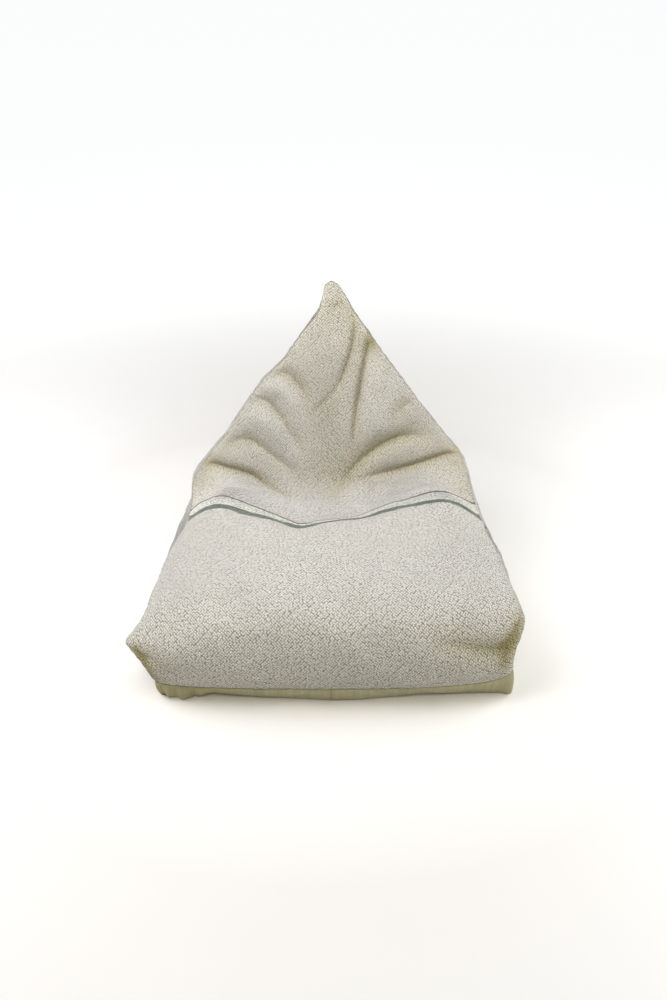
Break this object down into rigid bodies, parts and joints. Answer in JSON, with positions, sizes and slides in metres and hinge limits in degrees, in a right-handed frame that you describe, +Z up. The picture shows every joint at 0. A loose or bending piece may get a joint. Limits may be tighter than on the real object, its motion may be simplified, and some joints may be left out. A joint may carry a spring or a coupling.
{
  "type": "pouf",
  "caption": "Pyramid-shaped lounge pouf of filled woven cotton, with a seat pressed into its front, a pointed back and a woven stripe across the seat.",
  "frame": {"origin": "middle of the bag's bounding box, on the floor", "axes": "+Z up, -Y the way the seat faces, +X to the right for someone who looks at the seat from the front"},
  "size_m": [0.876, 0.9248, 0.7513],
  "materials": {
    "natural_cotton": "matt, coarse natural weave",
    "base_cotton": "matt, coarse olive-toned weave"
  },
  "bodies": {
    "root": {"front_panel": "natural_cotton", "back_panel": "natural_cotton", "base_left": "base_cotton", "base_right": "base_cotton"}
  },
  "joints": []
}
